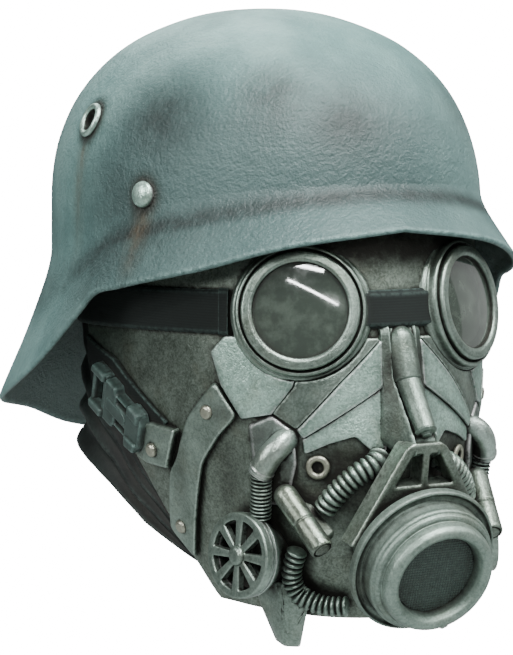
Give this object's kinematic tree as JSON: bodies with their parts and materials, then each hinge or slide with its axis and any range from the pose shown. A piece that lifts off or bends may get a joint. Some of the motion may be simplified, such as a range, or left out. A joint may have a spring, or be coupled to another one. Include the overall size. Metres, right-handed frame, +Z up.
{
  "type": "costume gas mask",
  "caption": "Full-head costume gas mask: flared steel-helmet dome over round smoked goggles, folded cheek panels, ribbed hoses and a short filter canister.",
  "frame": {"origin": "inside of the helmet's crown, where the top of the wearer's head rests", "axes": "+Z up, the mask looks along -Y, the wearer's left is +X"},
  "size_m": [0.2894, 0.392, 0.3385],
  "materials": {
    "helmet_paint": "matt grey-green paint with a fine rough texture, worn and stained",
    "pewter": "pewter paint over a dark wash",
    "pewter_light": "light pewter paint over a dark wash",
    "pewter_dark": "dark speckled pewter paint",
    "hood": "matt dark rubber with soft folds",
    "strap": "dark woven band",
    "buckle": "worn dark plastic",
    "lens": "smoked, polished",
    "screen": "fine dark weave"
  },
  "bodies": {
    "root": {"helmet_shell": "helmet_paint", "helmet_vent_left": "pewter", "helmet_vent_right": "pewter", "helmet_rivet_left": "pewter_light", "helmet_rivet_right": "pewter_light", "goggle_frame_left": "pewter", "goggle_frame_right": "pewter", "goggle_lens_left": "lens", "goggle_lens_right": "lens", "goggle_bridge": "strap", "goggle_strap": "strap", "face_shell": "pewter_dark", "neck_hood": "hood", "canister": "pewter", "canister_screen": "screen", "nose_tube": "pewter_light", "nose_bracket": "pewter_dark", "cheek_plate_left": "pewter_light", "cheek_plate_right": "pewter_light", "fold_upper_left": "pewter", "fold_upper_right": "pewter", "fold_middle_left": "pewter_light", "fold_middle_right": "pewter_light", "fold_lower_left": "pewter", "fold_lower_right": "pewter", "jaw_strap_left": "pewter", "jaw_strap_right": "pewter", "chin_web_left": "strap", "chin_web_right": "strap", "strap_anchor_left": "pewter", "strap_anchor_right": "pewter", "jaw_rivet_upper_left": "pewter_light", "jaw_rivet_upper_right": "pewter_light", "jaw_rivet_lower_left": "pewter_light", "jaw_rivet_lower_right": "pewter_light", "anchor_rivet_left": "pewter_light", "anchor_rivet_right": "pewter_light", "grommet_left": "pewter_light", "grommet_right": "pewter_light", "valve_drum_left": "pewter_dark", "valve_drum_right": "pewter_dark", "valve_wheel_left": "pewter", "valve_wheel_right": "pewter", "elbow_left": "pewter", "elbow_right": "pewter", "cross_pipe_left": "pewter", "cross_pipe_right": "pewter", "elbow_hose_left": "pewter_dark", "elbow_hose_right": "pewter_dark", "upper_hose_left": "pewter_dark", "upper_hose_right": "pewter_dark", "lower_hose_left": "pewter_dark", "lower_hose_right": "pewter_dark", "jaw_lug_left": "pewter", "jaw_lug_right": "pewter", "buckle_body_left": "buckle", "buckle_body_right": "buckle", "buckle_loop_left": "buckle", "buckle_loop_right": "buckle"}
  },
  "joints": []
}
